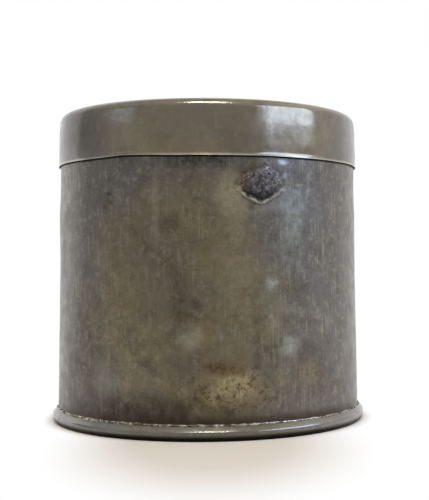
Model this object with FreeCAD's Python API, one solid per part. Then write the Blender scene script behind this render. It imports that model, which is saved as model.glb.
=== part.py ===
"""A round slip-lid cocoa tin of tinplate, shut and full.

Millimetres, +Z up. The origin is on the tin's axis, on the surface that it stands on, and the
side seam is at the back, towards +Y. The tin is shut, so its inside is solid: the body stands
for the wall and for what fills it. The lid, the base and the solder are pieces of their own.
"""

import os
from math import cos, degrees, pi, radians, sin, tan

import FreeCAD, Part

# Overall
TIN_HEIGHT = 86.0  # from the standing ring to the top of the lid
BODY_RADIUS = 42.25  # of the wall at its middle
SHEET = 0.25  # thickness of the tinplate

# Lid: a drawn cap that slips over the necked mouth and lies nearly flush with the wall
LID_SKIRT = 14.6  # from the lid's top to its edge
LID_PROUD = 0.25  # the skirt's outside is this much outside the wall's middle radius
LID_CLEARANCE = 0.25  # all round, between the mouth and the skirt
SHOULDER_RADIUS = 2.65
LIP_FLARE = 0.25  # the skirt opens by this at its edge
LIP_HEIGHT = 2.2  # over this height
PANEL_SINK = 0.5  # the lid's panel lies this much lower inside its border
PANEL_BORDER = 6.5  # width of the border, with the shoulder
PANEL_RAMP = 1.4  # width of the slope between border and panel

# Body: a rolled wall, necked under the lid and a little wider at its foot
NECK_BELOW_LID = 7.1  # the neck stays straight for this much below the lid's edge
NECK_EASE = 7.0  # and widens to the wall over this height
EASE_RADIUS = 60.0
FOOT_FLARE = 0.83  # how much wider the wall is at its foot
FLARE_SHARE = 0.785  # the share of the wall, between rim and neck, that widens
FLARE_RADIUS = 400.0

# Side seam: the outer end of the sheet laps over the inner one and ends in a free edge
SEAM_STEP = 0.2
SEAM_RISE = 14.0  # the lap lifts off the wall over this length
SEAM_ANGLE = 90.0  # the free edge, in degrees from +X
SEAM_LEAD = 0.5  # the share of that length by which the lap starts earlier, inside the wall
SEAM_DEPTH = 3.0  # how deep the lap's solid reaches into the body

# Base: a cap whose edge is knocked up round the body's foot as a thick rolled rim
RIM_HEIGHT = 3.75
RIM_TOP_WIDTH = 0.5  # how far the rim stands out of the wall at its top
RIM_BELLY_WIDTH = 1.97  # where the two straight lines of its outer side would meet
RIM_BELLY_HEIGHT = 1.45
RIM_FOOT_WIDTH = 0.95  # and where it stands
RIM_TOP_RADIUS = 0.35
RIM_BELLY_RADIUS = 1.2
RIM_FOOT_RADIUS = 0.4
RING_BEVEL = 0.3  # on the inner edge of the standing ring
PANEL_RECESS = 3.2  # from the standing ring up to the base's panel
PANEL_BEVEL = 0.6  # where the panel turns down into the rim
FOOT_GAP = 0.6  # the metal under the body's foot

# Solder: a fillet in the corner between the wall and the rim's top
SOLDER_HEIGHT = 0.5
SOLDER_WIDTH = 0.3

LONG_TURN = 50.0  # degrees; a longer bend is made of two arcs

# Worked out from the values above
LID_RADIUS = BODY_RADIUS + LID_PROUD
LID_EDGE = TIN_HEIGHT - LID_SKIRT
MOUTH_RADIUS = LID_RADIUS - SHEET - LID_CLEARANCE
NECK_END = LID_EDGE - NECK_BELOW_LID
WALL_START = NECK_END - NECK_EASE
FOOT_RADIUS = BODY_RADIUS + FOOT_FLARE
FLARE_START = RIM_HEIGHT + FLARE_SHARE * (WALL_START - RIM_HEIGHT)
CHUCK_RADIUS = FOOT_RADIUS - SHEET  # the base's inner wall stands inside the body's foot
SOLDER_TOP = RIM_HEIGHT + SOLDER_HEIGHT


def point(radius, height):
    """A point of the half section."""
    return FreeCAD.Vector(radius, 0, height)


def between(first, last, share):
    """The radius vector that share of the way round from the first to the last."""
    turn = first.getAngle(last)
    return (first * sin(turn * (1 - share)) + last * sin(turn * share)) * (1 / sin(turn))


def rounded(corners):
    """Edges through corners, each (radius, height, bend), with a tangent arc at every bend.

    An arc that turns by more than LONG_TURN is made of two halves.
    """
    edges, start = [], point(*corners[0][:2])
    for before, (r, z, bend), after in zip(corners, corners[1:], corners[2:]):
        corner = point(r, z)
        back = point(*before[:2]).sub(corner).normalize()
        ahead = point(*after[:2]).sub(corner).normalize()
        if not bend:
            edges.append(Part.LineSegment(start, corner).toShape())
            start = corner
            continue
        half = back.getAngle(ahead) / 2
        reach = bend / tan(half)
        leave, join = corner + back * reach, corner + ahead * reach
        centre = corner + (back + ahead).normalize() * (bend / sin(half))
        halves = 2 if pi - 2 * half > radians(LONG_TURN) else 1
        ways = [(leave - centre), (join - centre)]
        if start.distanceToPoint(leave) > 1e-6:
            edges.append(Part.LineSegment(start, leave).toShape())
        start = leave
        for i in range(halves):
            mid, end = (between(*ways, (i + part) / halves) for part in (0.5, 1))
            edges.append(Part.Arc(start, centre + mid, centre + end).toShape())
            start = centre + end
    end = point(*corners[-1][:2])
    if start.distanceToPoint(end) > 1e-6:
        edges.append(Part.LineSegment(start, end).toShape())
    return edges


def section(corners):
    """A flat face with the outline of the corners, the first of which is also the last."""
    return Part.Face(Part.Wire(rounded(corners + corners[:1])))


def turned(face, angle=360.0):
    """The solid that a section sweeps about the tin's axis."""
    return face.revolve(FreeCAD.Vector(0, 0, 0), FreeCAD.Vector(0, 0, 1), angle)


def lid_face(inset):
    """The lid's outer face, from its centre to its edge, moved into the sheet by inset."""
    slope_end = LID_RADIUS - PANEL_BORDER
    return [
        (0, TIN_HEIGHT - PANEL_SINK - inset, 0),
        (slope_end - PANEL_RAMP, TIN_HEIGHT - PANEL_SINK - inset, 0),
        (slope_end, TIN_HEIGHT - inset, 0),
        (LID_RADIUS - inset, TIN_HEIGHT - inset, SHOULDER_RADIUS - inset),
        (LID_RADIUS - inset, LID_EDGE + LIP_HEIGHT, 0),
        (LID_RADIUS + LIP_FLARE - inset, LID_EDGE, 0),
    ]


def wall_face(top):
    """The body's outer wall, from the given height down to the rim."""
    return [
        (MOUTH_RADIUS, top, 0),
        (MOUTH_RADIUS, NECK_END, EASE_RADIUS),
        (BODY_RADIUS, WALL_START, EASE_RADIUS),
        (BODY_RADIUS, FLARE_START, FLARE_RADIUS),
        (FOOT_RADIUS, SOLDER_TOP, 0),
    ]


def base_panel_face():
    """The base's inner face, from its centre to the bottom of the body's foot."""
    return [
        (0, PANEL_RECESS + SHEET, 0),
        (CHUCK_RADIUS, PANEL_RECESS + SHEET, 0),
        (CHUCK_RADIUS, FOOT_GAP, 0),
    ]


def make_lid():
    """The drawn cap: one sheet thick, with a sunk panel, a round shoulder and a flared lip."""
    return turned(section(lid_face(0) + lid_face(SHEET)[::-1]))


def make_seam(top):
    """The lap of the side seam, up to the given height.

    It is a sector of the wall, turned about an axis that is shifted along the wall. So it
    starts inside the wall and drifts out of it, to stand SEAM_STEP proud at its free edge.
    """
    inner = MOUTH_RADIUS - SEAM_DEPTH
    outline = wall_face(top) + [(inner, SOLDER_TOP, 0), (inner, top, 0)]
    rise = SEAM_RISE / BODY_RADIUS
    span = degrees(rise) * (1 + SEAM_LEAD)
    seam = turned(section(outline), span)
    seam.rotate(FreeCAD.Vector(0, 0, 0), FreeCAD.Vector(0, 0, 1), SEAM_ANGLE - span)
    start = radians(SEAM_ANGLE) - rise
    along = FreeCAD.Vector(-sin(start), cos(start), 0)
    seam.translate(along * (SEAM_STEP / sin(rise)))
    return seam


def make_body():
    """The wall and all that fills it, up to the lid's sunk panel and down into the rim."""
    top = TIN_HEIGHT - PANEL_SINK - SHEET
    bevel = SHOULDER_RADIUS - SHEET  # keeps the mouth clear of the lid's round shoulder
    fill = [(0, top, 0), (MOUTH_RADIUS - bevel, top, 0)]
    foot = [(FOOT_RADIUS, FOOT_GAP, 0)]
    outline = fill + wall_face(top - bevel) + foot + base_panel_face()[::-1]
    return turned(section(outline)).fuse(make_seam(top - bevel))


def make_base():
    """The base cap: a recessed panel, an inner wall and the rolled rim round the foot."""
    wall = FOOT_RADIUS
    inner = CHUCK_RADIUS - SHEET
    outline = base_panel_face() + [
        (wall, FOOT_GAP, 0),
        (wall, RIM_HEIGHT, 0),
        (wall + RIM_TOP_WIDTH, RIM_HEIGHT, RIM_TOP_RADIUS),
        (wall + RIM_BELLY_WIDTH, RIM_BELLY_HEIGHT, RIM_BELLY_RADIUS),
        (wall + RIM_FOOT_WIDTH, 0, RIM_FOOT_RADIUS),
        (inner + RING_BEVEL, 0, 0),
        (inner, RING_BEVEL, 0),
        (inner, PANEL_RECESS - PANEL_BEVEL, 0),
        (inner - PANEL_BEVEL, PANEL_RECESS, 0),
        (0, PANEL_RECESS, 0),
    ]
    return turned(section(outline))


def make_solder():
    """The solder fillet, in the corner between the wall and the rim's top."""
    outline = [
        (FOOT_RADIUS, RIM_HEIGHT, 0),
        (FOOT_RADIUS, SOLDER_TOP, 0),
        (FOOT_RADIUS + SOLDER_WIDTH, RIM_HEIGHT, 0),
    ]
    return turned(section(outline))


def main():
    os.makedirs("parts", exist_ok=True)
    pieces = {
        "body": make_body(),
        "lid": make_lid(),
        "base": make_base(),
        "solder": make_solder(),
    }
    for node, shape in pieces.items():
        shape.exportStep(f"parts/{node}.step")


main()
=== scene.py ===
"""Dresses an old tinplate cocoa tin: rolled wall, drawn slip lid, rolled base rim and solder.

Lengths are metres in the row's frame, +Z up, with the shown side towards -Y. The marks and
patterns of the finishes are in millimetres, and azimuths are degrees unless said otherwise.
"""

from __future__ import annotations

import logging
import math
from collections.abc import Callable, Sequence
from dataclasses import dataclass
from enum import Enum
from functools import reduce
from typing import ClassVar

import bmesh
import bpy
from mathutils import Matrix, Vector, noise

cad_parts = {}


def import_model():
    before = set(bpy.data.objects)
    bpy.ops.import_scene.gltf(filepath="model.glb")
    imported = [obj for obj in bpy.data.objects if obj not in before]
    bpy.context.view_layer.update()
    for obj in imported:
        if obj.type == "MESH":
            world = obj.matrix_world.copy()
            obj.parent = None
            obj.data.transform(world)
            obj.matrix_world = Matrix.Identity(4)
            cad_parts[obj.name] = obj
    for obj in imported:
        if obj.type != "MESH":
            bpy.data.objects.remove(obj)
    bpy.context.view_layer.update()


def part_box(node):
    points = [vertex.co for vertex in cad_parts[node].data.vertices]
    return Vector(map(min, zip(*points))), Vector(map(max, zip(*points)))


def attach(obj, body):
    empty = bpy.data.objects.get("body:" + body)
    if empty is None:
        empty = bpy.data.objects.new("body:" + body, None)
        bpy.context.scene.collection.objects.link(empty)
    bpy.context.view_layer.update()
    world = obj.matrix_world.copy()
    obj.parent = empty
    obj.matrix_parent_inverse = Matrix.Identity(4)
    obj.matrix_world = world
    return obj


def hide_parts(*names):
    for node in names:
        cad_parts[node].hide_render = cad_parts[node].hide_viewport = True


MM = 0.001
TINY = 1e-7  # metres: shorter than any real step
FRONT, BACK = -90.0, 90.0  # azimuths from +X
SHARP = math.radians(50)  # faces that meet at more than this keep a sharp edge
BODY = "root"
LOG = logging.getLogger("cocoa_tin")

Corner = tuple[float, float, float]
HalfPoint = tuple[float, float]
Span = tuple[float, float]
Socket = bpy.types.NodeSocket
Material = bpy.types.Material
Shaper = Callable[[float, float, float], HalfPoint]


class Slot(Enum):
    """The record's material slots."""

    WALL = "tinplate_wall"
    LID = "tinplate_lid"
    BASE = "tinplate_base"
    SOLDER = "solder"


# Nodes


def linear(hex_colour: str) -> tuple[float, float, float, float]:
    """Turn an sRGB hex colour into linear RGBA.

    Args:
        hex_colour: six hex digits, such as "8a8274".

    Returns:
        Red, green, blue and an alpha of 1.
    """
    channels = [int(hex_colour[i : i + 2], 16) / 255 for i in (0, 2, 4)]
    made = [c / 12.92 if c <= 0.04045 else ((c + 0.055) / 1.055) ** 2.4 for c in channels]
    return made[0], made[1], made[2], 1.0


def add(tree: bpy.types.NodeTree, kind: str, settings: dict | None = None, **inputs) -> bpy.types.Node:
    """Add a node with its settings and links.

    Args:
        tree: the node tree.
        kind: the node's type name.
        settings: attributes of the node, and under "at" its inputs by number or name.
        inputs: inputs by name, with underscores for spaces; a socket is linked, a value is set.

    Returns:
        The new node.
    """
    node = tree.nodes.new(kind)
    settings = dict(settings or {})
    wanted = {name.replace("_", " "): value for name, value in inputs.items()}
    wanted.update(settings.pop("at", {}))
    for name, value in settings.items():
        setattr(node, name, value)
    for name, value in wanted.items():
        if isinstance(value, bpy.types.NodeSocket):
            tree.links.new(value, node.inputs[name])
        else:
            node.inputs[name].default_value = value
    return node


def maths(tree: bpy.types.NodeTree, operation: str, *values: Socket | float, clamp: bool = False) -> Socket:
    """The result of one Math node, clamped to 0..1 if asked."""
    return add(tree, "ShaderNodeMath", {"operation": operation, "use_clamp": clamp,
                                        "at": dict(enumerate(values))}).outputs[0]


def vectors(tree: bpy.types.NodeTree, operation: str, *values: Socket | Sequence[float]) -> bpy.types.Node:
    """One Vector Math node."""
    return add(tree, "ShaderNodeVectorMath", {"operation": operation, "at": dict(enumerate(values))})


def spread(tree: bpy.types.NodeTree, value: Socket, span: Span, to: Span = (0.0, 1.0)) -> Socket:
    """Spread a value smoothly from one range to another.

    Args:
        tree: the node tree.
        value: the value.
        span: the two values that it ranges between, in either order.
        to: what they become.

    Returns:
        The spread value.
    """
    return add(tree, "ShaderNodeMapRange", {"interpolation_type": "SMOOTHSTEP"}, Value=value,
               From_Min=span[0], From_Max=span[1], To_Min=to[0], To_Max=to[1]).outputs["Result"]


def between(tree: bpy.types.NodeTree, share: Socket, first: Socket | float,
            second: Socket | float) -> Socket:
    """The value that lies a share of the way from the first to the second."""
    return add(tree, "ShaderNodeMix",
               {"data_type": "FLOAT", "at": {0: share, 2: first, 3: second}}).outputs[0]


# Shapes


def bell(x: float, width: float) -> float:
    """A smooth hump of height 1 at x = 0 that has died away by about 2.5 widths."""
    return math.exp(-((x / width) ** 2))


def smooth(x: float, low: float, high: float) -> float:
    """0 below low, 1 above high and a smooth rise between; low may be the larger."""
    t = min(1.0, max(0.0, (x - low) / (high - low)))
    return t * t * (3 - 2 * t)


def turn_from(angle: float, centre: float) -> float:
    """The signed turn from a centre in degrees to an angle in radians, within half a turn."""
    return (math.degrees(angle) - centre + 180.0) % 360.0 - 180.0


@dataclass(frozen=True)
class Waves:
    """Smooth noise on the tin's surface.

    Attributes:
        depth: how far it swings each way.
        size_mm: the size of its lumps.
        seed: a shift that gives another pattern.
    """

    depth: float
    size_mm: float
    seed: float

    def grain(self, angle: float, height: float, radius: float) -> float:
        """The bare noise, about -1 to 1, at an azimuth in radians, a height and a radius in metres."""
        spot = Vector((radius * math.cos(angle), radius * math.sin(angle), height))
        shift = Vector((self.seed, self.seed * 1.7, -self.seed))
        return noise.noise(spot * (1 / (self.size_mm * MM)) + shift)

    def at(self, angle: float, height: float, radius: float) -> float:
        """The swing there, either way."""
        return self.depth * self.grain(angle, height, radius)

    def inward(self, angle: float, height: float, radius: float) -> float:
        """The swing there, lowered so that it is hardly ever above 0."""
        return self.depth * (self.grain(angle, height, radius) - 1)


def swing(layers: Sequence[Waves], angle: float, height: float, radius: float) -> float:
    """The sum of some layers of waves at a place."""
    return sum(layer.at(angle, height, radius) for layer in layers)


def half_section(corners: Sequence[Corner], step: float, bend_step: float = 6.0) -> list[HalfPoint]:
    """Points of a half section, with a tangent arc at every bend.

    Args:
        corners: each a radius, a height and the radius of its bend.
        step: the longest straight piece.
        bend_step: the largest turn between two points of an arc, in degrees.

    Returns:
        Pairs of radius and height.
    """
    points: list[Vector] = [Vector(corners[0][:2])]

    def line_to(end: Vector) -> None:
        """Carry the section straight on.

        Args:
            end: where to.
        """
        start = points[-1]
        length = (end - start).length
        count = max(1, math.ceil(length / step))
        if length > TINY:
            points.extend(start.lerp(end, i / count) for i in range(1, count + 1))

    for before, (r, z, bend), after in zip(corners, corners[1:], corners[2:]):
        corner = Vector((r, z))
        back = (Vector(before[:2]) - corner).normalized()
        ahead = (Vector(after[:2]) - corner).normalized()
        if not bend:
            line_to(corner)
            continue
        half = back.angle(ahead) / 2
        reach = bend / math.tan(half)
        line_to(corner + back * reach)
        centre = corner + (back + ahead).normalized() * (bend / math.sin(half))
        first, last = corner + back * reach - centre, corner + ahead * reach - centre
        turn = first.angle_signed(last)
        count = max(2, math.ceil(abs(math.degrees(turn)) / bend_step))
        for i in range(1, count + 1):
            a = -turn * i / count
            points.append(centre + Vector((first.x * math.cos(a) - first.y * math.sin(a),
                                           first.x * math.sin(a) + first.y * math.cos(a))))
    line_to(Vector(corners[-1][:2]))
    return [(p.x, p.y) for p in points]


def even_angles(count: int) -> list[float]:
    """Azimuths once round, evenly spaced, in radians."""
    return [2 * math.pi * i / count for i in range(count)]


def graded_angles(centre: float, half: float, fine: float, coarse: float) -> list[float]:
    """Azimuths once round that are closer together near one place.

    Args:
        centre: the middle of the close stretch.
        half: half its width.
        fine: the spacing there.
        coarse: the spacing elsewhere.

    Returns:
        Azimuths in radians.
    """
    near = math.ceil(2 * half / fine)
    far = math.ceil((360 - 2 * half) / coarse)
    degrees = [centre - half + 2 * half * i / near for i in range(near)]
    degrees += [centre + half + (360 - 2 * half) * i / far for i in range(far)]
    return [math.radians(d) for d in degrees]


def turned_mesh(name: str, section: Sequence[HalfPoint], angles: Sequence[float], shape: Shaper,
                closed: bool = False) -> bpy.types.Mesh:
    """Turn a half section about the tin's axis into a closed mesh.

    Args:
        name: the mesh's name.
        section: radius and height pairs; both ends lie on the axis unless it is closed.
        angles: the azimuths of its columns, in radians.
        shape: moves a point: azimuth, radius and height give a new radius and height.
        closed: whether the section is a ring of its own, clear of the axis.

    Returns:
        The mesh, with its faces outwards and its sharp edges marked.
    """
    bm = bmesh.new()
    rings = []
    for radius, height in section:
        if radius < TINY:
            rings.append([bm.verts.new((0, 0, shape(0.0, 0.0, height)[1]))])
            continue
        places = [(a, *shape(a, radius, height)) for a in angles]
        rings.append([bm.verts.new((r * math.cos(a), r * math.sin(a), z)) for a, r, z in places])
    pairs = list(zip(rings, rings[1:]))
    if closed:
        pairs.append((rings[-1], rings[0]))
    count = len(angles)
    for upper, lower in pairs:
        for i in range(count):
            j = (i + 1) % count
            corners = [upper[i % len(upper)], upper[j % len(upper)],
                       lower[j % len(lower)], lower[i % len(lower)]]
            bm.faces.new(dict.fromkeys(corners))
    bmesh.ops.recalc_face_normals(bm, faces=bm.faces)
    if bm.calc_volume(signed=True) < 0:
        bmesh.ops.reverse_faces(bm, faces=bm.faces)
    mesh = bpy.data.meshes.new(name)
    bm.to_mesh(mesh)
    bm.free()
    mesh.shade_smooth()
    mesh.set_sharp_from_angle(angle=SHARP)
    return mesh


def place(name: str, mesh: bpy.types.Mesh, material: bpy.types.Material, slot: Slot,
          *nodes: str) -> bpy.types.Object:
    """Put a finished mesh on the tin.

    Args:
        name: the piece's name.
        mesh: its mesh, already in place.
        material: its finish.
        slot: the record's slot that the finish belongs to; not used.
        nodes: the solids that the piece stands for.

    Returns:
        The piece's object, at the origin.
    """
    piece = bpy.data.objects.new(name, mesh)
    bpy.context.scene.collection.objects.link(piece)
    if not mesh.materials:
        mesh.materials.append(material)
    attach(piece, BODY)
    if nodes:
        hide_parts(*nodes)
    LOG.info("%s: %d faces, stands for %s", name, len(mesh.polygons), ", ".join(nodes) or "nothing")
    return piece


@dataclass(frozen=True)
class TinSizes:
    """The sizes that the pieces share, in metres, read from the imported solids."""

    height: float
    lid_edge: float
    lip_radius: float
    rim_height: float
    foot_radius: float
    solder_top: float
    sheet: float = 0.25 * MM
    wall_swell: float = 0.83 * MM
    lid_gap: float = 0.25 * MM
    lip_flare: float = 0.25 * MM

    @classmethod
    def from_frame(cls) -> TinSizes:
        """Read the sizes off the nodes' boxes.

        Returns:
            The sizes.
        """
        lid_low, lid_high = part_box("lid")
        base_high, body_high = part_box("base")[1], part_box("body")[1]
        return cls(height=lid_high.z, lid_edge=lid_low.z, lip_radius=lid_high.x,
                   rim_height=base_high.z, foot_radius=body_high.x, solder_top=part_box("solder")[1].z)

    @property
    def wall_radius(self) -> float:
        """The wall's radius at its middle."""
        return self.foot_radius - self.wall_swell

    @property
    def lid_radius(self) -> float:
        """The radius of the lid's skirt, above its flared lip."""
        return self.lip_radius - self.lip_flare

    @property
    def mouth_radius(self) -> float:
        """The radius of the wall's neck."""
        return self.lid_radius - self.sheet - self.lid_gap


# Finishes


class Stain(str, Enum):
    """Colours of dirt, corrosion and wear, and of painted shade and painted highlights, as sRGB hex."""

    KHAKI = "a8946a"
    KHAKI_CORE = "d0c096"
    KHAKI_BROW = "74552f"
    SPECK = "43361f"
    GRIME_AND_SHADE = "5a4f43"
    DARK_LOW_BAND = "2f271f"
    FOOT_DIRT_AND_SHADE = "3a3027"
    GAP_SHADE = "14110e"
    CRUST = "3b3431"
    CRUST_WORN = "78716d"
    CRUMB_GLINT = "93949b"
    RUST = "6b4a38"
    GLINT = "c5b594"
    CRUST_FOOT_SHADE = "15110f"
    HALO = "54463a"
    TAN_EDGE = "a89b79"
    LID_SHADE = "544d46"
    LIP_HIGHLIGHT = "b9b4a6"
    RIM_DIRT = "54493b"
    RIM_UNDERSIDE_SHADE_AND_DIRT = "1d1a16"
    SOLDER = "80775f"
    SOLDER_RUBBED = "cfcab9"


@dataclass(frozen=True)
class Mark:
    """A mark on the tin: where it is and how large.

    Attributes:
        azimuth: degrees from the front, positive to the right.
        height: millimetres above the table.
        wide: half its width in millimetres.
        tall: half its height in millimetres.
        edge: how soft its edge is, from 0 to 1.
        wobble: how far its outline wanders, in millimetres.
    """

    azimuth: float
    height: float
    wide: float
    tall: float
    edge: float
    wobble: float


@dataclass(frozen=True)
class Tint:
    """A mark with its colour and how strongly it shows, from 0 to 1."""

    mark: Mark
    colour: str
    share: float


class Finish:
    """A procedural material on Object coordinates in millimetres."""

    def __init__(self, name: str, radius_mm: float) -> None:
        """Start an empty material.

        Args:
            name: the material's name.
            radius_mm: the radius of the surface that its marks lie on.
        """
        self.material = bpy.data.materials.new(name)
        self.material.use_nodes = True
        self.tree = self.material.node_tree
        self.tree.nodes.clear()
        self.radius_mm = radius_mm
        coords = add(self.tree, "ShaderNodeTexCoord")
        scaled = add(self.tree, "ShaderNodeMapping", {"vector_type": "POINT"},
                     Vector=coords.outputs["Object"], Scale=(1 / MM,) * 3)
        self.place = scaled.outputs["Vector"]
        self.height = add(self.tree, "ShaderNodeSeparateXYZ", Vector=self.place).outputs["Z"]

    def told(self, attribute: str) -> Socket:
        """A number that the mesh tells for each of its points."""
        return add(self.tree, "ShaderNodeAttribute", {"attribute_name": attribute}).outputs["Fac"]

    def noise(self, size_mm: float, detail: float = 3.0, stretch: float = 1.0, seed: float = 0.0,
              roughness: float = 0.55) -> Socket:
        """Noise with lumps of a real size.

        Args:
            size_mm: the size of the lumps.
            detail: octaves.
            stretch: how many times taller than wide the lumps are.
            seed: a shift that gives another pattern.
            roughness: the strength of the finer octaves.

        Returns:
            A value around 0.5.
        """
        moved = add(self.tree, "ShaderNodeMapping", {"vector_type": "POINT"}, Vector=self.place,
                    Location=(seed, seed * 0.7, -seed), Scale=(1, 1, 1 / stretch))
        return add(self.tree, "ShaderNodeTexNoise", Vector=moved.outputs["Vector"],
                   Scale=1 / size_mm, Detail=detail, Roughness=roughness).outputs["Fac"]

    def ramp(self, value: Socket, low: float, high: float, *to: float) -> Socket:
        """Spread a value smoothly from low..high to the two last numbers, or to 0..1."""
        return spread(self.tree, value, (low, high), to or (0.0, 1.0))

    def cloud(self, size_mm: float, low: float, high: float, *to: float, **pattern: float) -> Socket:
        """Noise of the given pattern, spread as by ramp."""
        return self.ramp(self.noise(size_mm, **pattern), low, high, *to)

    def maths(self, operation: str, *values: Socket | float) -> Socket:
        """The result of one Math node, clamped to 0..1."""
        return maths(self.tree, operation, *values, clamp=True)

    def times(self, *shares: Socket | float) -> Socket:
        """The product of some shares."""
        return reduce(lambda made, share: self.maths("MULTIPLY", made, share), shares)

    def mark(self, mark: Mark) -> Socket:
        """The mask of a mark, 1 inside it.

        Args:
            mark: its place, size and edge.

        Returns:
            The mask.
        """
        wander = add(self.tree, "ShaderNodeTexNoise", Vector=self.place,
                     Scale=1 / max(1.5, mark.wide * 0.5), Detail=3.0)
        centred = vectors(self.tree, "SUBTRACT", wander.outputs["Color"], (0.5,) * 3)
        shifted = vectors(self.tree, "MULTIPLY_ADD", centred.outputs["Vector"],
                          (2 * mark.wobble,) * 3, self.place)
        turn = math.radians(mark.azimuth + FRONT)
        centre = (self.radius_mm * math.cos(turn), self.radius_mm * math.sin(turn), mark.height)
        local = add(self.tree, "ShaderNodeMapping", {"vector_type": "TEXTURE"},
                    Vector=shifted.outputs["Vector"], Location=centre, Rotation=(0, 0, turn),
                    Scale=(mark.wide * 4, mark.wide, mark.tall))
        away = vectors(self.tree, "LENGTH", local.outputs["Vector"])
        return self.ramp(away.outputs["Value"], 1.0, 1.0 - mark.edge)

    def lay(self, under: Socket | str, over: Socket | str, *shares: Socket | float) -> Socket:
        """Lay one colour over another.

        Args:
            under: the lower colour, a socket or sRGB hex.
            over: the upper colour, a socket or sRGB hex.
            shares: their product is how much of the upper one shows.

        Returns:
            The mixed colour.
        """
        sides = [linear(c) if isinstance(c, str) else c for c in (under, over)]
        return add(self.tree, "ShaderNodeMix",
                   {"data_type": "RGBA", "blend_type": "MIX", "clamp_factor": True,
                    "at": {0: self.times(*shares), 6: sides[0], 7: sides[1]}}).outputs[2]

    def tint(self, colour: Socket, tint: Tint, *shares: Socket | float) -> Socket:
        """Lay a tint over a colour, as strongly as its own and the other shares say."""
        return self.lay(colour, tint.colour, self.mark(tint.mark), tint.share, *shares)

    def finish(self, colour: Socket, roughness: Socket, bump: Socket, bump_mm: float,
               metallic: Socket | float) -> Material:
        """Close the material with its shader.

        Args:
            colour: base colour.
            roughness: roughness.
            bump: the bump's height, 0 to 1.
            bump_mm: the height that 1 stands for, in millimetres.
            metallic: share of bare metal.

        Returns:
            The material.
        """
        relief = add(self.tree, "ShaderNodeBump", Height=bump, Distance=bump_mm * MM, Strength=1.0)
        shader = add(self.tree, "ShaderNodeBsdfPrincipled", Base_Color=colour, Roughness=roughness,
                     Metallic=metallic, Normal=relief.outputs["Normal"])
        add(self.tree, "ShaderNodeOutputMaterial", Surface=shader.outputs["BSDF"])
        return self.material


@dataclass(frozen=True)
class AgedTinplate:
    """Hot-dipped tinplate after decades in a kitchen: a dull neutral grey oxide that has gone olive
    where hands and steam reached it, cloudy at close range, with fine crossed rubbing marks.

    Its clouds and rubs are how strongly those show, from 0 to 1, and front is where it is olive.
    """

    name: str
    grey: str
    olive: str
    pale: str
    dark: str
    roughness: float
    radius_mm: float
    front: Mark
    clouds: float
    rubs: float

    def start(self) -> tuple[Finish, Socket, Socket, Socket]:
        """Make the patina that all the tin's sheet has.

        Returns:
            The finish with its colour, roughness and bump so far.
        """
        made = Finish(self.name, self.radius_mm)
        tone = made.cloud(15, 0.38, 0.60, 0.55, 1.0, detail=5, seed=3)
        colour = made.lay(self.grey, self.olive, tone, made.mark(self.front))
        broad = made.cloud(6, 0.50, 0.70, detail=6, seed=21, roughness=0.62)
        colour = made.lay(colour, self.dark, broad, self.clouds)
        close = made.cloud(2.0, 0.48, 0.70, detail=7, seed=23, roughness=0.72)
        colour = made.lay(colour, self.pale, close, self.clouds)
        up = made.cloud(0.55, 0.50, 0.72, detail=2, stretch=16, seed=11)
        across = made.cloud(1.6, 0.50, 0.72, detail=3, stretch=0.12, seed=13)
        where = made.cloud(7, 0.42, 0.66, 0.2, 1.0, detail=3, seed=15)
        crossed = made.maths("ADD", up, made.times(across, 0.45))
        colour = made.lay(colour, self.pale, crossed, where, self.rubs)
        fine = made.noise(0.6, detail=4, seed=5)
        colour = made.lay(colour, self.dark, made.ramp(fine, 0.54, 0.78, 0.0, self.clouds))
        smoother, rougher = self.roughness - 0.06, self.roughness + 0.08
        rough = made.cloud(4, 0.3, 0.7, smoother, rougher, detail=5, seed=31)
        return made, colour, rough, made.lay(fine, made.noise(2.4, detail=4, seed=41), 0.5)


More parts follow.
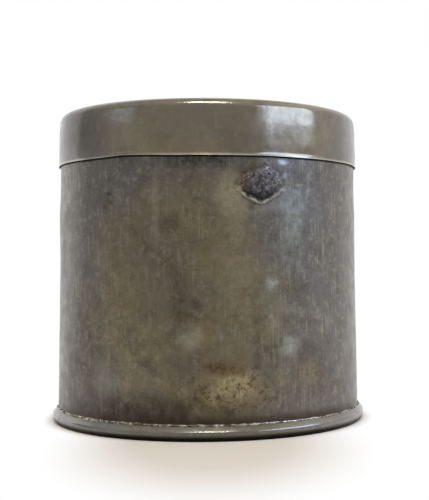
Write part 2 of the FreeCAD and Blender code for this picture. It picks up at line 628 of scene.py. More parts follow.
class WallFinish:
    """The rolled wall's tinplate with its stains, dirt lines, painted shade and painted highlights, and the
    scab of corrosion.
    """

    sheet = AgedTinplate("aged_tinplate_stained_wall", grey="787370", olive="938667", pale="b0aa99",
                         dark="564e42", roughness=0.32, radius_mm=42.3,
                         front=Mark(-6, 32, 36, 46, 0.6, 5), clouds=0.55, rubs=0.60)
    tints = (
        Tint(Mark(9.0, 48, 7.0, 38, 0.95, 3), "afa283", 0.80),
        Tint(Mark(7.5, 62, 6.0, 9, 0.95, 3), "c0b394", 0.85),
        Tint(Mark(-10, 34, 3.6, 16, 0.95, 2), "5f4f3c", 0.75),
        Tint(Mark(31, 54, 5.0, 13, 0.95, 3), "a5a898", 0.70),
        Tint(Mark(29, 23, 4.4, 3.8, 0.85, 2.0), "c9c5b8", 0.85),
        Tint(Mark(22, 39, 3.0, 2.8, 0.85, 1.5), "c4beae", 0.75),
        Tint(Mark(-7, 25.5, 5.2, 5.0, 0.9, 2.5), "bfb7a0", 0.80),
        Tint(Mark(-18.5, 58, 1.4, 15, 0.95, 0.8), "b3ab97", 0.60),
        Tint(Mark(-47, 22, 17, 24, 0.95, 4), "4d4542", 0.75),
        Tint(Mark(38, 18, 14, 14, 0.95, 4), "564e46", 0.60),
        Tint(Mark(-39, 14, 6, 8, 0.9, 3), "8f9188", 0.70),
        Tint(Mark(-37.5, 62.3, 1.0, 1.0, 0.9, 0.4), "3b3128", 0.80),
        Tint(Mark(-36.5, 60.0, 0.9, 0.7, 0.9, 0.4), "3b3128", 0.70),
        # painted shade on the wall just under the lid's edge
        Tint(Mark(-2, 70.4, 17, 3.4, 0.95, 2), "332a22", 0.80),
        Tint(Mark(15.5, 69.6, 3.6, 3.4, 0.95, 1.2), "6f5838", 0.75),
        Tint(Mark(13.0, 67.4, 5.0, 3.0, 0.95, 1.2), "5c4c3f", 0.80),
        # painted reflections of the window: a blue-grey streak right of the scab and a white-blue glint
        # just under the lid's edge
        Tint(Mark(27.4, 66.6, 1.7, 1.2, 0.9, 0.6), "c3c8cb", 0.80),
        Tint(Mark(26.6, 70.2, 2.6, 1.1, 0.9, 0.6), "dfe8ec", 0.95),
    )
    khaki = Mark(7.5, 12.4, 13.0, 8.6, 0.75, 4.0)
    khaki_core = Mark(7.5, 12.4, 8.0, 5.8, 0.7, 2.4)
    khaki_brow = Mark(5.5, 18.0, 8.6, 2.2, 0.95, 1.6)
    khaki_beside = (Mark(25.5, 15.0, 4.4, 3.4, 0.9, 2.5), Mark(38, 15.5, 6.0, 6.0, 0.95, 3.0))
    # a darker band low on the wall, towards the left, just above the rim
    dark_low_band = Tint(Mark(-26, 6.0, 38.0, 8.0, 0.95, 3.0), Stain.DARK_LOW_BAND, 0.85)
    speckled = Mark(9.0, 11.5, 20.0, 9.0, 0.7, 5.0)
    bump_mm = 0.03

    def stains_shade_and_glints(self, made: Finish, colour: Socket) -> tuple[Socket, Socket]:
        """Lay the tints, among them painted shade under the lid and painted window reflections beside the
        scab, and the khaki corrosion low on the front.

        Args:
            made: the finish.
            colour: the colour under the stains.

        Returns:
            The stained colour and the mask of the khaki patch.
        """
        # a patchy mask that breaks up every tint below, the painted shade and painted reflections too
        worn = made.cloud(1.8, 0.38, 0.60, 0.30, 1.0, detail=7, seed=57, roughness=0.75)
        for tint in self.tints:
            colour = made.tint(colour, tint, worn)
        patch = made.mark(self.khaki)
        for beside in self.khaki_beside:
            patch = made.maths("MAXIMUM", patch, made.times(made.mark(beside), 0.55))
        grained = made.cloud(1.1, 0.42, 0.58, 0.25, 1.0, detail=5, seed=53, roughness=0.7)
        colour = made.lay(colour, Stain.KHAKI, patch, grained)
        colour = made.lay(colour, Stain.KHAKI_CORE, made.mark(self.khaki_core), grained)
        colour = made.lay(colour, Stain.KHAKI_BROW, made.mark(self.khaki_brow), grained)
        speck = made.cloud(1.6, 0.50, 0.60, detail=7, seed=51, roughness=0.75)
        return made.lay(colour, Stain.SPECK, speck, made.mark(self.speckled), 0.75), patch

    def dirt_and_shade(self, made: Finish, colour: Socket, sizes: TinSizes) -> Socket:
        """Darken the wall towards the rim with dirt and painted shade, and paint shade into the gap under
        the lid.

        Args:
            made: the finish.
            colour: the colour under the dirt and painted shade.
            sizes: the tin's shared sizes.

        Returns:
            The colour with the dirt and painted shade.
        """
        foot = sizes.solder_top / MM
        uneven = made.cloud(5, 0.30, 0.60, 0.45, 1.0, detail=6, seed=91, roughness=0.62)
        # dirt and painted shade, darkening the wall towards the rim
        grime_and_shade = made.ramp(made.height, foot + 26, foot + 2, 0.0, 0.45)
        colour = made.lay(colour, Stain.GRIME_AND_SHADE, grime_and_shade, uneven)
        # a darker band low on the wall, towards the left, just above the rim
        colour = made.tint(colour, self.dark_low_band, uneven)
        # dirt and painted shade in the corner at the wall's foot
        colour = made.lay(colour, Stain.FOOT_DIRT_AND_SHADE, made.ramp(made.height, foot + 3.0, foot + 0.2), 0.8)
        # painted shade in the gap under the lid's edge
        return made.lay(colour, Stain.GAP_SHADE, made.ramp(made.told("below_lid"), 0.62, 0.22), 0.9)

    def crust(self, made: Finish) -> tuple[Socket, Socket, Socket]:
        """Make the scab: brown-black scale, blue-grey crumbs with painted window reflections high on its
        right, rust on its left and painted shade along its foot.

        Args:
            made: the finish.

        Returns:
            How deep inside the outline a place lies, the scab's colour and the tan edge's mask.
        """
        deep, side, rise = made.told("scab"), made.told("scab_side"), made.told("scab_rise")
        tone = made.cloud(0.9, 0.40, 0.62, detail=6, seed=71, roughness=0.72)
        colour = made.lay(Stain.CRUST, Stain.CRUST_WORN, tone)
        # painted reflections of the window on the crumbs high on the scab's right
        crumbs = made.cloud(0.5, 0.50, 0.66, detail=4, seed=81, roughness=0.6)
        window_lit = made.ramp(made.times(side, rise), 0.22, 0.48)
        colour = made.lay(colour, Stain.CRUMB_GLINT, crumbs, window_lit, 0.8)
        colour = made.lay(colour, Stain.RUST, made.ramp(side, 0.36, 0.08),
                          made.ramp(tone, 0.0, 1.0, 0.35, 0.9))
        glint = made.cloud(0.55, 0.58, 0.66, detail=2, seed=85)
        colour = made.lay(colour, Stain.GLINT, glint, made.ramp(deep, 0.35, 0.05))
        # painted shade along the scab's lower edge
        low = made.times(made.ramp(rise, 0.46, 0.16), made.ramp(deep, 0.55, 0.15))
        colour = made.lay(colour, Stain.CRUST_FOOT_SHADE, low, 0.9)
        tan = made.times(made.ramp(deep, -0.26, -0.17), made.ramp(deep, -0.05, -0.12),
                         made.ramp(rise, 0.62, 0.40))
        broken = made.cloud(1.2, 0.42, 0.58, 0.1, 1.0, detail=4, seed=87)
        return deep, colour, made.times(tan, broken, 0.6)

    def build(self, sizes: TinSizes) -> Material:
        """Build the material.

        Args:
            sizes: the tin's shared sizes.

        Returns:
            The material.
        """
        made, colour, rough, bump = self.sheet.start()
        colour, patch = self.stains_shade_and_glints(made, colour)
        rough = made.maths("ADD", rough, made.times(patch, 0.12))
        colour = self.dirt_and_shade(made, colour, sizes)
        deep, scab, tan = self.crust(made)
        halo = made.times(made.ramp(deep, -0.34, 0.0), made.cloud(1.4, 0.38, 0.6, detail=4, seed=89))
        colour = made.lay(colour, Stain.HALO, halo, 0.7)
        colour = made.lay(colour, Stain.TAN_EDGE, tan, 0.8)
        inside = made.ramp(deep, -0.06, 0.12)
        colour = made.lay(colour, scab, inside)
        rough = made.maths("ADD", rough, made.times(made.maths("MAXIMUM", tan, inside), 0.12))
        return made.finish(colour, rough, bump, self.bump_mm, made.ramp(deep, -0.06, 0.12, 0.92, 0.45))


class LidFinish:
    """The drawn lid's tinplate, rubbed smoother by hands, with a painted highlight along its edge."""

    sheet = AgedTinplate("aged_tinplate_rubbed_lid", grey="7e7a78", olive="a09379", pale="b1ab9d",
                         dark="6a6256", roughness=0.17, radius_mm=42.0,
                         front=Mark(4, 79, 40, 60, 0.6, 4), clouds=0.28, rubs=0.30)
    shade = Tint(Mark(-58, 79, 17, 10, 0.95, 4), Stain.LID_SHADE, 0.5)
    bump_mm = 0.015

    def build(self, sizes: TinSizes) -> Material:
        """Build the material.

        Args:
            sizes: the tin's shared sizes.

        Returns:
            The material.
        """
        made, colour, rough, bump = self.sheet.start()
        colour = made.tint(colour, self.shade)
        edge = sizes.lid_edge / MM
        # painted highlight along the lid's lip
        colour = made.lay(colour, Stain.LIP_HIGHLIGHT, made.ramp(made.height, edge + 0.7, edge + 0.2))
        return made.finish(colour, rough, bump, self.bump_mm, 0.95)


class BaseFinish:
    """The rolled rim's tinplate, worn bright on its bulge, black below with dirt and painted shade, and
    dark with dirt in its corner.
    """

    sheet = AgedTinplate("aged_tinplate_worn_rim", grey="8f8b88", olive="8d8577", pale="b0aca4",
                         dark="5f584e", roughness=0.18, radius_mm=43.8,
                         front=Mark(0, 2, 40, 10, 0.6, 4), clouds=0.30, rubs=0.2)
    bright_height, dark_height = 2.2, 0.7
    bump_mm = 0.02

    def build(self, sizes: TinSizes) -> Material:
        """Build the material.

        Args:
            sizes: the tin's shared sizes.

        Returns:
            The material.
        """
        made, colour, rough, bump = self.sheet.start()
        top = sizes.rim_height / MM
        colour = made.lay(colour, Stain.RIM_DIRT, made.ramp(made.height, top - 0.9, top - 0.2), 0.25)
        # dirt and painted shade on the rim's underside
        under = made.ramp(made.height, self.bright_height, self.dark_height)
        colour = made.lay(colour, Stain.RIM_UNDERSIDE_SHADE_AND_DIRT, under)
        rough = made.maths("ADD", rough, made.times(under, 0.3))
        return made.finish(colour, rough, bump, self.bump_mm, 0.95)


class SolderFinish:
    """Tin-lead solder run along the rim with an iron: dull grey, lumpy, bright where it is rubbed."""

    def build(self) -> Material:
        """Build the material.

        Returns:
            The material.
        """
        made = Finish("soft_solder_ironed", 42.6)
        colour = made.lay(Stain.SOLDER, Stain.SOLDER_RUBBED, made.cloud(1.4, 0.42, 0.62, seed=7))
        rough = made.cloud(2, 0.3, 0.7, 0.22, 0.42, seed=17)
        return made.finish(colour, rough, made.noise(0.6, seed=27), 0.06, 0.95)


# Pieces


@dataclass(frozen=True)
class Scab:
    """A raised scab of corrosion on the wall, a rough lozenge with a curled lip below it.

    Attributes:
        azimuth: degrees from the front, positive to the right.
        height: of its middle above the table, in metres.
        left, right, up, down: how far it reaches each way, in metres.
        lean: how far its top leans right, as a share of the height.
        rise: how thick the crust is, in metres.
        wander: how its outline wanders, as a share of its reach.
        lumps: how its crust swells, as a share of its rise.
    """

    azimuth: float = 18.2
    height: float = 64.8 * MM
    left: float = 6.0 * MM
    right: float = 5.9 * MM
    up: float = 4.3 * MM
    down: float = 4.6 * MM
    lean: float = 0.4
    rise: float = 0.42 * MM
    wander: tuple[Waves, ...] = (Waves(0.10, 2.2, 4.0), Waves(0.07, 0.9, 9.0))
    lumps: tuple[Waves, ...] = (Waves(0.6, 1.3, 2.0), Waves(0.2, 0.6, 5.0))

    def sideways(self, angle: float, radius: float) -> float:
        """How far right of its middle an azimuth in radians lies, in metres."""
        return math.radians(turn_from(angle, self.azimuth + FRONT)) * radius

    def depth(self, angle: float, height: float, radius: float) -> float:
        """How deep a point lies inside the scab's outline.

        Args:
            angle: azimuth in radians.
            height, radius: its height and the wall's radius, in metres.

        Returns:
            1 in its middle, 0 on its outline and negative outside.
        """
        above = height - self.height
        across = self.sideways(angle, radius) - self.lean * max(0.0, above)
        x = abs(across) / (self.right if across > 0 else self.left)
        y = abs(above) / (self.up if above > 0 else self.down)
        power = 1.5 if above > 0 else 1.6
        return 1 - (x**power + y**power) ** (1 / power) + swing(self.wander, angle, height, radius)

    def across(self, angle: float, radius: float) -> float:
        """How far right a point lies on the scab, 0 at its left end and 1 at its right end."""
        return (self.sideways(angle, radius) + self.left) / (self.left + self.right)

    def upward(self, height: float) -> float:
        """How high a point lies on the scab, 0 at its lowest end and 1 at its highest."""
        return (height - self.height + self.down) / (self.up + self.down)

    def relief(self, angle: float, height: float, radius: float) -> float:
        """How far the scab lifts the surface.

        Args:
            angle: azimuth in radians.
            height, radius: its height and the wall's radius, in metres.

        Returns:
            The lift in metres, 0 well outside the outline.
        """
        depth = self.depth(angle, height, radius)
        if depth < -0.6:
            return 0.0
        lumps = 0.5 + swing(self.lumps, angle, height, radius)
        crust = smooth(depth, 0.0, 0.16) * (0.45 + 0.55 * smooth(depth, 0.0, 0.7)) * (0.6 + 0.6 * lumps)
        below = smooth(self.height - height, 0.2 * self.down, 0.7 * self.down)
        return self.rise * (crust + bell(depth + 0.16, 0.08) * below * 0.22)


@dataclass(frozen=True)
class Hump:
    """A smooth swelling part of the way round: its height, its middle and its width in degrees."""

    rise: float
    azimuth: float
    width: float

    def at(self, front: float) -> float:
        """Its height at an azimuth from the front."""
        return self.rise * bell(front - self.azimuth, self.width)


@dataclass(frozen=True)
class TurnedPiece:
    """A piece turned about the tin's axis and then worn out of true."""

    sizes: TinSizes
    name: ClassVar[str]
    node: ClassVar[str]
    slot: ClassVar[Slot]
    closed: ClassVar[bool] = False
    columns: ClassVar[int] = 360

    def section(self) -> list[HalfPoint]:
        """The piece's half section."""
        raise NotImplementedError

    def angles(self) -> list[float]:
        """The azimuths of its columns, in radians."""
        return even_angles(self.columns)

    def shape(self, angle: float, radius: float, height: float) -> HalfPoint:
        """Move a point of the true piece to where the old one has it."""
        raise NotImplementedError

    def tell(self, mesh: bpy.types.Mesh) -> None:
        """Give the mesh the numbers that its finish reads, if it reads any."""

    def build(self, material: Material) -> bpy.types.Object:
        """Build the piece.

        Args:
            material: its finish.

        Returns:
            The piece.
        """
        mesh = turned_mesh(self.name, self.section(), self.angles(), self.shape, self.closed)
        self.tell(mesh)
        return place(self.name, mesh, material, self.slot, self.node)


@dataclass(frozen=True)
class Wall(TurnedPiece):
    """The tin's rolled wall: necked under the lid, a little wider at its foot, lapped behind."""

    name, node, slot = "tin_wall", "body", Slot.WALL
    scab: Scab = Scab()
    neck_below_lid: float = 7.1 * MM
    neck_ease: float = 7.0 * MM
    ease_bend: float = 60 * MM
    flare_share: float = 0.785
    flare_bend: float = 400 * MM
    seam_step: float = 0.2 * MM
    seam_rise: float = 19.0
    panel_depth: float = 0.75 * MM
    mouth_bevel: float = 5.0 * MM
    bulge: Hump = Hump(0.16 * MM, -78, 22)
    bulge_height: float = 56 * MM
    bulge_tall: float = 9 * MM
    waves: tuple[Waves, ...] = (Waves(0.10 * MM, 26, 1.0), Waves(0.05 * MM, 11, 6.0))

    def section(self) -> list[HalfPoint]:
        """The wall's half section, from the axis under the lid to the axis over the base.

        Returns:
            Pairs of radius and height, closest together from the lid's edge to below the scab.
        """
        s = self.sizes
        top, foot = s.height - self.panel_depth, s.rim_height - 0.1 * MM
        neck_end = s.lid_edge - self.neck_below_lid
        wall_start = neck_end - self.neck_ease
        flare_start = s.rim_height + self.flare_share * (wall_start - s.rim_height)
        fine_from = (s.mouth_radius, s.lid_edge + 0.8 * MM, 0)
        fine_to = (s.wall_radius, min(wall_start - 1.5 * MM, self.scab.height - 7 * MM), 0)
        above = [(0, top, 0), (s.mouth_radius - self.mouth_bevel, top, 0),
                 (s.mouth_radius, top - self.mouth_bevel, 0), fine_from]
        beside = [fine_from, (s.mouth_radius, neck_end, self.ease_bend),
                  (s.wall_radius, wall_start, self.ease_bend), fine_to]
        below = [fine_to, (s.wall_radius, flare_start, self.flare_bend), (s.foot_radius, foot, 0),
                 (s.foot_radius - s.sheet, foot, 0), (0, foot, 0)]
        return [*half_section(above, 2.5 * MM), *half_section(beside, 0.2 * MM, 0.2)[1:],
                *half_section(below, 1.1 * MM)[1:]]

    def angles(self) -> list[float]:
        """Azimuths that are closer together at the scab and at the seam, in radians."""
        around = graded_angles(self.scab.azimuth + FRONT, 11.0, 0.27, 1.5)
        around += [math.radians(BACK + d) for d in (-0.2, 0.1, 0.25, 0.5)]
        return sorted({round(a % (2 * math.pi), 6) for a in around})

    def shape(self, angle: float, radius: float, height: float) -> HalfPoint:
        """Add the wall's bulge, waves, lapped seam and scab.

        Args:
            angle: azimuth in radians.
            radius, height: in metres.

        Returns:
            The new radius and height.
        """
        s = self.sizes
        if radius < s.mouth_radius - 0.05 * MM:
            return radius, height
        free = (smooth(height, s.rim_height, s.rim_height + 8 * MM)
                * smooth(height, s.lid_edge + 4 * MM, s.lid_edge - 4 * MM))
        level = bell(height - self.bulge_height, self.bulge_tall)
        bent = self.bulge.at(turn_from(angle, FRONT)) * level + swing(self.waves, angle, height, radius)
        lap = turn_from(angle, BACK)
        seam = self.seam_step * smooth(lap, -self.seam_rise, -1.0) * smooth(lap, 0.45, 0.0)
        return radius + seam + free * bent + self.scab.relief(angle, height, radius), height

    def tell(self, mesh: bpy.types.Mesh) -> None:
        """Give the mesh its place on the scab, and how far it lies below the lid.

        Args:
            mesh: the wall's mesh.
        """
        s, lid = self.sizes, Lid(self.sizes)
        places = [(math.atan2(v.co.y, v.co.x), v.co.z) for v in mesh.vertices]
        told = {
            "scab": [max(-1.0, self.scab.depth(a, z, s.wall_radius)) for a, z in places],
            "scab_side": [self.scab.across(a, s.wall_radius) for a, _ in places],
            "scab_rise": [self.scab.upward(z) for _, z in places],
            "below_lid": [(s.lid_edge + lid.edge_lift(a) - z) / MM for a, z in places],
        }
        for name, values in told.items():
            mesh.attributes.new(name, "FLOAT", "POINT").data.foreach_set("value", values)


@dataclass(frozen=True)
class Lid(TurnedPiece):
    """The drawn slip lid: a sunk panel, a round shoulder and a skirt with a slightly open lip."""

    name, node, slot = "slip_lid", "lid", Slot.LID
    shoulder: float = 2.5 * MM
    crown_drop: float = 5.6 * MM
    crown_draw: float = 0.40 * MM
    crown_bend: float = 35 * MM
    waist_drop: float = 12.0 * MM
    waist_draw: float = 0.17 * MM
    waist_bend: float = 60 * MM
    lip_height: float = 0.7 * MM
    lip_bend: float = 2 * MM
    panel_sink: float = 0.5 * MM
    panel_border: float = 6.5 * MM
    panel_ramp: float = 1.4 * MM
    panel_bend: float = 1.2 * MM
    edge_worn: float = 0.08 * MM
    edge_humps: tuple[Hump, ...] = (Hump(0.30 * MM, -29, 10), Hump(-0.17 * MM, -2, 13))
    edge_waves: Waves = Waves(0.05 * MM, 6, 3.0)
    skirt_waves: Waves = Waves(0.05 * MM, 14, 8.0)
    sag: Waves = Waves(0.08 * MM, 22, 12.0)

    def edge_lift(self, angle: float) -> float:
        """How far the lid's worn edge stands above its even height.

        Args:
            angle: azimuth in radians.

        Returns:
            The lift in metres.
        """
        front = turn_from(angle, FRONT)
        lift = sum((hump.at(front) for hump in self.edge_humps), start=self.edge_worn)
        return max(0.0, lift + self.edge_waves.at(angle, 0.0, self.sizes.lid_radius))

    def face(self, inset: float) -> list[Corner]:
        """The lid's outer face, from its centre to its edge.

        Args:
            inset: how far it is moved into the sheet, in metres.

        Returns:
            Its corners, each a radius, a height and the radius of its bend.
        """
        s = self.sizes
        slope = s.lid_radius - self.panel_border
        top, side = s.height - inset, s.lid_radius - inset
        waist = side - self.waist_draw
        return [
            (0, top - self.panel_sink, 0),
            (slope - self.panel_ramp, top - self.panel_sink, self.panel_bend + inset),
            (slope, top, self.panel_bend - inset),
            (waist - self.crown_draw, top, self.shoulder - inset),
            (waist, s.height - self.crown_drop, self.crown_bend),
            (side, s.height - self.waist_drop, self.waist_bend),
            (side, s.lid_edge + self.lip_height, self.lip_bend),
            (s.lip_radius - inset, s.lid_edge, 0),
        ]

    def section(self) -> list[HalfPoint]:
        """The lid's half section, out along its face and back inside the sheet."""
        inner = half_section(self.face(self.sizes.sheet), 2.4 * MM, 10.0)
        return half_section(self.face(0), 1.2 * MM, 5.0) + inner[::-1]

    def shape(self, angle: float, radius: float, height: float) -> HalfPoint:
        """Add the skirt's waves, the worn edge and the top's sag.

        Args:
            angle: azimuth in radians.
            radius, height: in metres.

        Returns:
            The new radius and height.
        """
        s = self.sizes
        low = smooth(height, s.lid_edge + 6 * MM, s.lid_edge)
        rim = smooth(radius, s.lid_radius - 2 * self.shoulder, s.lid_radius)
        sag = self.sag.inward(angle, 0.0, radius) * (1 - rim)
        return (radius + rim * self.skirt_waves.at(angle, height, s.lid_radius),
                height + low * self.edge_lift(angle) + sag)


@dataclass(frozen=True)
class RolledBase(TurnedPiece):
    """The base cap: a recessed panel and a thick rim rolled round the wall's foot.

    Its widths are measured from the wall's foot, its heights from the table.
    """

    name, node, slot = "rolled_base", "base", Slot.BASE
    top_width: float = 0.45 * MM
    crown_width: float = 1.62 * MM
    crown_height: float = 2.50 * MM
    belly_width: float = 1.74 * MM
    belly_height: float = 1.4 * MM
    foot_width: float = 0.95 * MM
    top_bend: float = 0.35 * MM
    crown_bend: float = 1.0 * MM
    belly_bend: float = 1.0 * MM
    foot_bend: float = 0.4 * MM
    ring_bevel: float = 0.3 * MM
    recess: float = 3.2 * MM
    panel_corner: float = 0.6 * MM
    tilt: float = 0.28 * MM
    highest: float = 0.25 * MM
    edge_waves: Waves = Waves(0.10 * MM, 7, 2.0)
    dents: Waves = Waves(0.04 * MM, 5, 5.0)

    def section(self) -> list[HalfPoint]:
        """The base's half section, from the panel's upper side round the rim to its underside.

        Returns:
            Pairs of radius and height.
        """
        s, foot = self.sizes, self.sizes.foot_radius
        inner = foot - 2 * s.sheet
        return half_section([
            (0, self.recess + s.sheet, 0),
            (foot - s.sheet, self.recess + s.sheet, 0),
            (foot - s.sheet, s.rim_height, 0),
            (foot + self.top_width, s.rim_height, self.top_bend),
            (foot + self.crown_width, self.crown_height, self.crown_bend),
            (foot + self.belly_width, self.belly_height, self.belly_bend),
            (foot + self.foot_width, 0, self.foot_bend),
            (inner + self.ring_bevel, 0, 0),
            (inner, self.ring_bevel, 0),
            (inner, self.recess, self.panel_corner),
            (0, self.recess, 0),
        ], 1.2 * MM, 7.0)

    def shape(self, angle: float, radius: float, height: float) -> HalfPoint:
        """Add the rim's dents and its uneven top.

        Args:
            angle: azimuth in radians.
            radius, height: in metres.

        Returns:
            The new radius and height.
        """
        s, foot = self.sizes, self.sizes.foot_radius
        out = smooth(radius, foot - 0.1 * MM, foot + 0.8 * MM)
        up = smooth(height, 0.8 * MM, s.rim_height)
        tilt = self.tilt * math.sin(math.radians(turn_from(angle, FRONT)))
        uneven = tilt + self.edge_waves.at(angle, 0.0, foot)
        return (radius + out * self.dents.inward(angle, height, foot),
                height + up * out * min(self.highest, uneven))


@dataclass(frozen=True)
class Solder(TurnedPiece):
    """The solder in the corner between wall and rim."""

    name, node, slot = "solder_fillet", "solder", Slot.SOLDER
    closed, columns = True, 720
    width: float = 0.3 * MM
    tilt: float = 0.25 * MM
    run_out: float = 0.3 * MM
    run_up: float = 0.5 * MM
    lumps: Waves = Waves(0.5, 2.0, 3.0)

    def section(self) -> list[HalfPoint]:
        """The fillet's half section, a ring of its own.

        Returns:
            Pairs of radius and height.
        """
        s, foot = self.sizes, self.sizes.foot_radius
        sunk = s.rim_height - 0.2 * MM
        return half_section([
            (foot - 0.1 * MM, sunk, 0),
            (foot - 0.1 * MM, s.solder_top, 0),
            (foot + 0.02 * MM, s.solder_top, 0),
            (foot + 0.12 * MM, s.rim_height + 0.12 * MM, 0.2 * MM),
            (foot + self.width, s.rim_height, 0),
            (foot + self.width, sunk, 0),
        ], 0.3 * MM)

    def shape(self, angle: float, radius: float, height: float) -> HalfPoint:
        """Add the fillet's lumps and the rim's tilt.

        Args:
            angle: azimuth in radians.
            radius, height: in metres.

        Returns:
            The new radius and height.
        """
        s = self.sizes
        lumps = 0.5 + self.lumps.at(angle, 0.0, s.foot_radius)
        share = smooth(radius, s.foot_radius, s.foot_radius + self.width)
        rise = smooth(height, s.rim_height, s.solder_top)
        up = self.tilt * math.sin(math.radians(turn_from(angle, FRONT)))
        return (radius + share * (lumps - 0.4) * self.run_out,
                height + up * share + rise * (lumps - 0.6) * self.run_up)


@dataclass(frozen=True)
class SolderBeads:
    """Small bright beads that the iron left along the fillet, scattered by Geometry Nodes.

    Attributes:
        sizes: the tin's shared sizes.
        count: how many places round the rim may hold a bead.
        smallest, largest: the beads' half width, in metres.
        wander: how far a bead strays from the ring, in metres.
        clump: the size of the stretches with and without beads, in metres.
        out, up: where the ring runs, from the wall's foot and the rim's top, in metres.
        seed: the scatter's seed.
    """

    sizes: TinSizes
    count: int = 1000
    smallest: float = 0.07 * MM
    largest: float = 0.24 * MM
    wander: float = 0.14 * MM
    clump: float = 3.2 * MM
    out: float = 0.2 * MM
    up: float = 0.22 * MM
    seed: int = 4

    def group(self) -> bpy.types.GeometryNodeTree:
        """Make the node group: a ring of places, some of which get a bead drawn out along it.

        Returns:
            The group.
        """
        tree = bpy.data.node_groups.new("solder_beads", "GeometryNodeTree")
        face = tree.interface
        face.new_socket("Beads", in_out="OUTPUT", socket_type="NodeSocketGeometry")
        kinds = {"Count": "Int", "Radius": "Float", "Height": "Float", "Smallest": "Float",
                 "Largest": "Float", "Wander": "Float", "Clump": "Float", "Seed": "Int",
                 "Material": "Material"}
        for name, kind in kinds.items():
            face.new_socket(name, in_out="INPUT", socket_type=f"NodeSocket{kind}")
        given = tree.nodes.new("NodeGroupInput").outputs
        ring = add(tree, "GeometryNodeMeshCircle", Vertices=given["Count"], Radius=given["Radius"])
        reaches = (maths(tree, "MULTIPLY", given["Wander"], -1.0), given["Wander"])
        low, high = (add(tree, "ShaderNodeCombineXYZ", X=r, Y=r, Z=r).outputs[0] for r in reaches)
        stray = add(tree, "FunctionNodeRandomValue", {"data_type": "FLOAT_VECTOR", "at": {
            0: low, 1: high, "Seed": given["Seed"]}})
        lift = add(tree, "ShaderNodeCombineXYZ", Z=given["Height"])
        places = add(tree, "GeometryNodeSetPosition", Geometry=ring.outputs["Mesh"],
                     Offset=vectors(tree, "ADD", stray.outputs[0], lift.outputs[0]).outputs[0])
        where = add(tree, "GeometryNodeInputPosition").outputs[0]
        parts = add(tree, "ShaderNodeSeparateXYZ", Vector=where).outputs
        facing = add(tree, "ShaderNodeCombineXYZ", Z=maths(tree, "ARCTAN2", parts["Y"], parts["X"]))
        clump = add(tree, "ShaderNodeTexNoise", Vector=where, Scale=given["Clump"], Detail=2.0)
        wanted = add(tree, "FunctionNodeCompare", {"data_type": "FLOAT", "operation": "GREATER_THAN",
                                                   "at": {0: clump.outputs["Fac"], 1: 0.48}})
        size = add(tree, "FunctionNodeRandomValue", {"data_type": "FLOAT", "at": {
            2: given["Smallest"], 3: given["Largest"], "Seed": given["Seed"]}})
        drawn = add(tree, "ShaderNodeVectorMath", {"operation": "SCALE", "at": {
            0: (0.8, 1.7, 0.8), "Scale": size.outputs[1]}})
        bead = add(tree, "GeometryNodeMeshIcoSphere", Radius=1.0, Subdivisions=2)
        beads = add(tree, "GeometryNodeInstanceOnPoints", Points=places.outputs[0],
                    Selection=wanted.outputs[0], Instance=bead.outputs["Mesh"],
                    Rotation=facing.outputs[0], Scale=drawn.outputs[0])
        solid = add(tree, "GeometryNodeRealizeInstances", Geometry=beads.outputs[0])
        soft = add(tree, "GeometryNodeSetShadeSmooth", Geometry=solid.outputs[0])
        dressed = add(tree, "GeometryNodeSetMaterial", Geometry=soft.outputs[0],
                      Material=given["Material"])
        add(tree, "NodeGroupOutput", Beads=dressed.outputs[0])
        return tree

    def build(self, material: Material) -> bpy.types.Object:
        """Scatter the beads and keep them as a plain mesh.

        Args:
            material: their finish.

        Returns:
            The piece.
        """
        tree = self.group()
        values = {"Count": self.count, "Radius": self.sizes.foot_radius + self.out,
                  "Height": self.sizes.rim_height + self.up, "Smallest": self.smallest,
                  "Largest": self.largest, "Wander": self.wander, "Clump": 1 / self.clump,
                  "Seed": self.seed, "Material": material}
        carrier = bpy.data.objects.new("bead_carrier", bpy.data.meshes.new("bead_carrier"))
        bpy.context.scene.collection.objects.link(carrier)
        scatter = carrier.modifiers.new("beads", "NODES")
        scatter.node_group = tree
        for socket in tree.interface.items_tree:
            if socket.in_out == "INPUT":
                scatter[socket.identifier] = values[socket.name]
        bpy.context.view_layer.update()
        evaluated = carrier.evaluated_get(bpy.context.evaluated_depsgraph_get())
        mesh = bpy.data.meshes.new_from_object(evaluated)
        carrier.modifiers.clear()
        bpy.data.objects.remove(carrier)
        return place("solder_beads", mesh, material, Slot.SOLDER)


# Stage


@dataclass(frozen=True)
class Lamp:
    """A lamp that hangs round the tin, degrees right of the front and degrees up, at a distance in
    metres, and faces a place at some height on the tin's axis."""

    name: str
    azimuth: float
    elevation: float
    size: tuple[float, float]
    watts: float
    colour: str
    distance: float = 1.2
    faces: float = 0.06

    def hang(self) -> None:
        """Hang the lamp."""
        data = bpy.data.lights.new(self.name, "AREA")
        data.shape = "RECTANGLE"
        data.size, data.size_y = self.size
        data.energy = self.watts
        data.color = linear(self.colour)[:3]
        a, e = math.radians(self.azimuth + FRONT), math.radians(self.elevation)
        place_at = Vector((math.cos(a) * math.cos(e), math.sin(a) * math.cos(e), math.sin(e)))
        place_at *= self.distance
        lamp = bpy.data.objects.new(self.name, data)
        lamp.location = place_at
        lamp.rotation_euler = (Vector((0, 0, self.faces)) - place_at).to_track_quat("-Z", "Y").to_euler()
        bpy.context.scene.collection.objects.link(lamp)


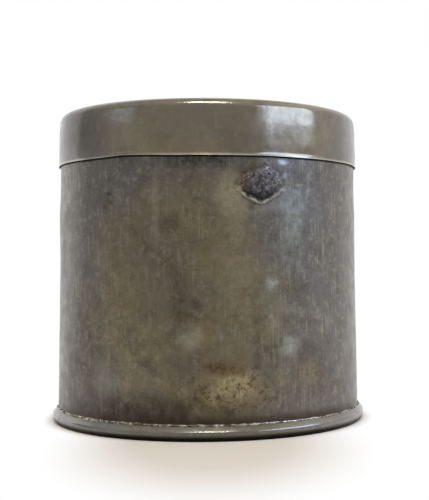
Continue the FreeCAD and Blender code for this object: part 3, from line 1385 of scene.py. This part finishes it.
@dataclass(frozen=True)
class Studio:
    """A white table that ends just in front of the tin, a white backdrop, a dim room behind the
    camera, a window on the right, a fainter one on the left and a ceiling lamp.

    Attributes:
        backdrop, ceiling, room, low: how bright the surroundings are behind the tin, overhead, at
            the tin's own height and below the table.
        right: how much brighter the room is on the right, as a share.
        overhead, horizon, rightwards, forwards: the directions, along Z, Z, X and Y, over which the
            room turns into the ceiling, the floor into the room, and the bright right begins.
        behind_axis, behind: the direction of the backdrop, and where along it the backdrop begins.
        table_radius, table_front: the table's size and its reach towards the camera, in metres.
        shade_at: where the tin's shade on the table is centred, in millimetres towards the camera.
        shade_wide, shade_deep: half the size of the shaded patch, in millimetres.
        clear: how far from the axis the table turns clear white elsewhere, in millimetres.
        lens, shift, stand, aim: the camera's focal length in millimetres, its shift, its place in
            metres and its turn in degrees.
    """

    backdrop: float = 0.9
    ceiling: float = 0.6
    room: float = 0.42
    low: float = 0.22
    right: float = 0.85
    overhead: Span = (0.30, 0.85)
    horizon: Span = (-0.10, 0.06)
    rightwards: Span = (0.30, 0.60)
    forwards: Span = (-0.40, 0.25)
    behind_axis: tuple[float, ...] = (-0.1, 1, 0)
    behind: Span = (0.425, 0.585)
    table_radius: float = 0.9
    table_front: float = 0.118
    shade_at: float = 45.0
    shade_wide: float = 42.0
    shade_deep: float = 72.0
    clear: Span = (43.0, 48.0)
    lens: float = 72.03
    shift: tuple[float, float] = (-0.1128, 0.0531)
    stand: tuple[float, ...] = (0, -0.2922, 0.0453)
    aim: tuple[float, ...] = (89.03, 0.14, -3.55)
    lamps: ClassVar[tuple[Lamp, ...]] = (
        Lamp("window", 64, 26.6, (0.90, 0.52), 5.2, "bad3fc"),
        Lamp("far_window", -68, 19, (0.42, 0.12), 0.10, "b0ceff"),
        Lamp("ceiling_lamp", -1, 60, (0.42, 0.06), 3.2, "fffaf0"),
    )

    def seen(self, tree: bpy.types.NodeTree, camera: bool) -> Socket:
        """Tell reflections, and rays through glass, from the light that falls on things.

        Args:
            tree: the node tree.
            camera: whether the camera's own rays count too.

        Returns:
            1 for the rays that see the background.
        """
        rays = add(tree, "ShaderNodeLightPath").outputs
        shiny = maths(tree, "MAXIMUM", rays["Is Glossy Ray"], rays["Is Transmission Ray"])
        return maths(tree, "MAXIMUM", rays["Is Camera Ray"], shiny) if camera else shiny

    def table_finish(self) -> Material:
        """Matt white table top, shaded near the tin and clear white farther off.

        Returns:
            The material.
        """
        material = bpy.data.materials.new("white_table_matt")
        material.use_nodes = True
        tree = material.node_tree
        tree.nodes.clear()
        matt = add(tree, "ShaderNodeBsdfDiffuse", Color=linear("ebdfcf"), Roughness=0.5)
        white = add(tree, "ShaderNodeEmission", Color=(1, 1, 1, 1), Strength=1.0)
        coords = add(tree, "ShaderNodeTexCoord").outputs["Object"]
        away = vectors(tree, "LENGTH", coords).outputs["Value"]
        round_it = spread(tree, away, (self.clear[0] * MM, self.clear[1] * MM))
        local = add(tree, "ShaderNodeMapping", {"vector_type": "TEXTURE"}, Vector=coords,
                    Location=(0, -self.shade_at * MM, 0),
                    Scale=(self.shade_wide * MM, self.shade_deep * MM, 1))
        in_front = vectors(tree, "LENGTH", local.outputs["Vector"]).outputs["Value"]
        clear = maths(tree, "MULTIPLY", round_it, spread(tree, in_front, (0.35, 1.0)))
        share = maths(tree, "MULTIPLY", clear, self.seen(tree, camera=True))
        top = add(tree, "ShaderNodeMixShader", {"at": {
            0: share, 1: matt.outputs["BSDF"], 2: white.outputs["Emission"]}})
        add(tree, "ShaderNodeOutputMaterial", Surface=top.outputs["Shader"])
        return material

    def table(self) -> None:
        """Lay the table, a round top cut off in front."""
        edge = [(self.table_radius * math.cos(a),
                 max(self.table_radius * math.sin(a), -self.table_front), 0) for a in even_angles(96)]
        mesh = bpy.data.meshes.new("table")
        mesh.from_pydata(edge, [], [tuple(range(len(edge)))])
        mesh.materials.append(self.table_finish())
        table = bpy.data.objects.new("table", mesh)
        bpy.context.scene.collection.objects.link(table)

    def world(self) -> None:
        """Light the room: bright behind the tin and at its sides, dim towards the camera."""
        world = bpy.data.worlds.new("room")
        bpy.context.scene.world = world
        world.use_nodes = True
        tree = world.node_tree
        tree.nodes.clear()
        way = add(tree, "ShaderNodeTexCoord").outputs["Generated"]
        parts = add(tree, "ShaderNodeSeparateXYZ", Vector=way).outputs
        camera = add(tree, "ShaderNodeLightPath").outputs["Is Camera Ray"]
        backdrop = between(tree, self.seen(tree, camera=False), self.backdrop, 1.0)
        level = between(tree, spread(tree, parts["Z"], self.overhead),
                        spread(tree, parts["Z"], self.horizon, (self.low, self.room)), self.ceiling)
        rightwards = maths(tree, "MULTIPLY", spread(tree, parts["X"], self.rightwards, (0.0, self.right)),
                           spread(tree, parts["Y"], self.forwards))
        brighter = maths(tree, "MULTIPLY_ADD", level, rightwards, level)
        backwards = vectors(tree, "DOT_PRODUCT", way, self.behind_axis).outputs["Value"]
        around = between(tree, spread(tree, backwards, self.behind), brighter, backdrop)
        strength = between(tree, camera, around, 1.0)
        light = add(tree, "ShaderNodeBackground", Color=(1, 1, 1, 1), Strength=strength)
        add(tree, "ShaderNodeOutputWorld", Surface=light.outputs["Background"])

    def camera(self) -> None:
        """Stand the camera in front, a little to the left of its own axis."""
        data = bpy.data.cameras.new("camera")
        data.lens, data.sensor_width = self.lens, 36.0
        data.shift_x, data.shift_y = self.shift
        data.clip_start, data.clip_end = 0.01, 50.0
        camera = bpy.data.objects.new("camera", data)
        camera.location = self.stand
        camera.rotation_euler = tuple(math.radians(a) for a in self.aim)
        bpy.context.scene.collection.objects.link(camera)
        bpy.context.scene.camera = camera

    def build(self) -> None:
        """Set up the whole stage."""
        self.table()
        self.world()
        for lamp in self.lamps:
            lamp.hang()
        self.camera()
        bpy.context.scene.view_settings.view_transform = "Standard"


def main() -> None:
    """Build the tin and its stage."""
    logging.basicConfig(level=logging.INFO, format="%(name)s: %(message)s")
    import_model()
    sizes = TinSizes.from_frame()
    Studio().build()
    Wall(sizes).build(WallFinish().build(sizes))
    Lid(sizes).build(LidFinish().build(sizes))
    RolledBase(sizes).build(BaseFinish().build(sizes))
    solder = SolderFinish().build()
    Solder(sizes).build(solder)
    SolderBeads(sizes).build(solder)


if __name__ == "__main__":
    main()
